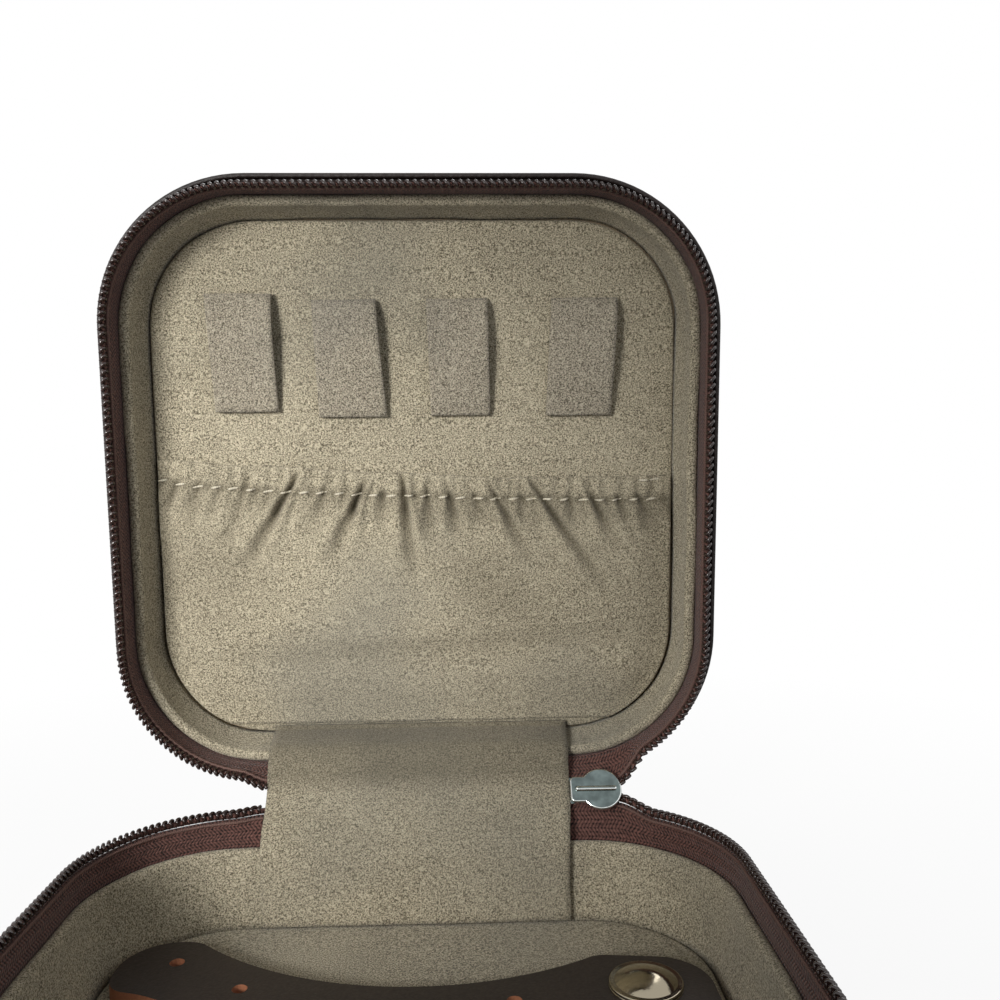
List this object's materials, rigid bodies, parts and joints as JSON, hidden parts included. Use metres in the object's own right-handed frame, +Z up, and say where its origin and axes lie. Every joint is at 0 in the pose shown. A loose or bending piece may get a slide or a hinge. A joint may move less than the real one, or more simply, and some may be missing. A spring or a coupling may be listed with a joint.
{
  "type": "travel jewelry box",
  "caption": "Zip-around travel jewelry box with a suede-lined tray, a lid with necklace loops and a gathered pocket, a soft hinge and a lift-out earring plate.",
  "frame": {"origin": "middle of the flat underside of the base, which rests on the surface", "axes": "+Z up out of the base; the hinge line runs along X at the back, at +Y; +X is to the right as one faces the open box"},
  "size_m": [0.1248, 0.1447, 0.1524],
  "materials": {
    "shell_leather": "fine pebbled dark brown leather",
    "plate_leather": "smooth dark chocolate leather, raw tan edge",
    "suede": "soft taupe microfibre suede",
    "zipper_tape": "woven maroon-brown zipper tape",
    "zipper_coil": "dark brown nylon coil",
    "elastic": "woven elastic",
    "board": "dense grey-brown board",
    "chrome": "polished plating"
  },
  "bodies": {
    "base": {"base_leather_cover": "shell_leather", "base_stiffener": "board", "base_floor_board": "board", "base_wall_lining": "suede", "base_floor_pad": "suede", "base_zipper_tape": "zipper_tape", "base_coil_cord": "zipper_coil", "base_zipper_teeth": "zipper_coil", "snap_stud": "chrome", "hinge_strip": "suede", "spine_cover": "shell_leather"},
    "lid": {"lid_leather_cover": "shell_leather", "lid_stiffener": "board", "lid_panel_board": "board", "lid_wall_lining": "suede", "lid_panel": "suede", "lid_zipper_tape": "zipper_tape", "lid_coil_cord": "zipper_coil", "lid_zipper_teeth": "zipper_coil", "necklace_loop_1": "suede", "necklace_loop_2": "suede", "necklace_loop_3": "suede", "necklace_loop_4": "suede", "lid_pocket": "suede", "pocket_elastic": "elastic"},
    "slider": {"zipper_slider": "chrome"},
    "pull": {"slider_pull": "chrome"},
    "plate": {"earring_plate": "plate_leather", "snap_cap": "chrome", "snap_socket": "chrome"}
  },
  "joints": [
    {"name": "lid_hinge", "type": "hinge", "parent": "base", "child": "lid", "pos_m": [0, 0.063, 0.0265], "axis": [1, 0, 0], "range_deg": [0, 86], "deforming": ["hinge_strip", "spine_cover"]},
    {"name": "slider_turn", "type": "hinge", "parent": "base", "child": "slider", "pos_m": [0.0364, 0.063, 0.0265], "axis": [1, 0, 0], "range_deg": [0, 43]},
    {"name": "pull_swing", "type": "hinge", "parent": "slider", "child": "pull", "pos_m": [0.0364, 0.06578, 0.02391], "axis": [0, 0.682, 0.7314], "range_deg": [-85, 85]},
    {"name": "plate_lift", "type": "slide", "parent": "base", "child": "plate", "axis": [0, 0, 1], "range_m": [0, 0.02]}
  ],
  "couplings": [
    {"joint": "slider_turn", "follows": "lid_hinge", "ratio": 0.5}
  ]
}
